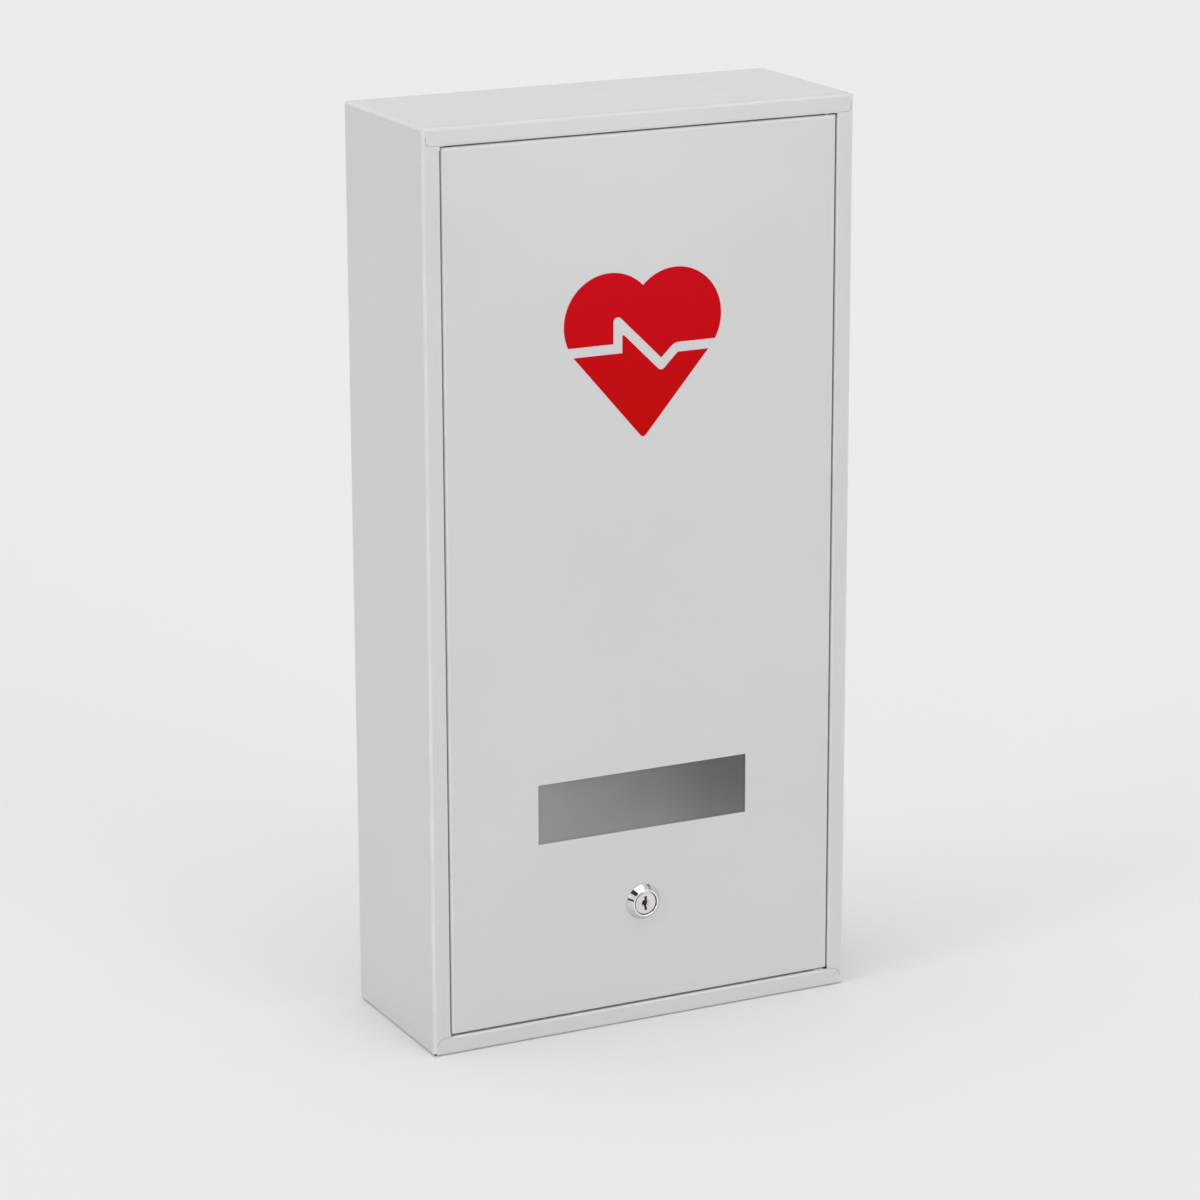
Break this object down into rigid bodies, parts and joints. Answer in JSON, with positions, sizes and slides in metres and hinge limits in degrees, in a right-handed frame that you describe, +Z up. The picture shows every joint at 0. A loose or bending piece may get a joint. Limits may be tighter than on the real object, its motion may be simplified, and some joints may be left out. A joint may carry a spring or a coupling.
{
  "type": "medicine cabinet",
  "caption": "Lockable wall cabinet for medicines in folded sheet steel: inset hinged door with window and cam lock, shelves inside.",
  "frame": {"origin": "middle of the casing's underside, halfway between its front face and the wall", "axes": "+Z up, -Y out of the door, +X towards the hinged side"},
  "size_m": [0.3, 0.1245, 0.6],
  "materials": {
    "coat_side": "fine satin powder coat, pale grey",
    "coat_door": "fine satin powder coat, pale grey",
    "coat_shelf": "fine satin powder coat, pale grey",
    "zinc": "zinc plated",
    "chrome": "bright chrome plate",
    "plug_metal": "satin nickel plate",
    "brass": "plain brass",
    "clear_pane": "clear acrylic",
    "nylon": "pale grey nylon",
    "sign_red": "red screen print on the door's coat",
    "rubber": "matt black rubber"
  },
  "bodies": {
    "cabinet": {"casing_top": "coat_side", "casing_bottom": "coat_side", "casing_left": "coat_side", "casing_right": "coat_side", "back_panel": "coat_side", "shelf_upper": "coat_shelf", "shelf_middle": "coat_shelf", "shelf_lower": "coat_shelf", "shelf_bracket_upper_left": "coat_shelf", "shelf_bracket_upper_right": "coat_shelf", "shelf_bracket_middle_left": "coat_shelf", "shelf_bracket_middle_right": "coat_shelf", "shelf_bracket_lower_left": "coat_shelf", "shelf_bracket_lower_right": "coat_shelf", "lock_keeper": "zinc", "door_stop_upper": "zinc", "door_stop_lower": "zinc", "stop_bumper_upper": "rubber", "stop_bumper_lower": "rubber", "hinge_bush_top": "nylon", "hinge_bush_bottom": "nylon"},
    "door": {"door_panel": "coat_door", "hinge_pin_top": "zinc", "hinge_pin_bottom": "zinc", "window_pane": "clear_pane", "window_channel_upper": "coat_shelf", "window_channel_lower": "coat_shelf", "lock_housing": "chrome", "lock_washer": "zinc", "lock_nut": "zinc"},
    "lock_cylinder": {"lock_plug": "plug_metal", "lock_wafers": "brass", "lock_cam": "zinc", "cam_washer": "zinc", "cam_screw": "zinc"}
  },
  "joints": [
    {"name": "door_hinge", "type": "hinge", "parent": "cabinet", "child": "door", "pos_m": [0.1319, -0.0558, 0.3], "axis": [0, 0, 1], "range_deg": [0, 100]},
    {"name": "lock_turn", "type": "hinge", "parent": "door", "child": "lock_cylinder", "pos_m": [0, -0.06, 0.082], "axis": [0, 1, 0], "range_deg": [0, 90]}
  ]
}
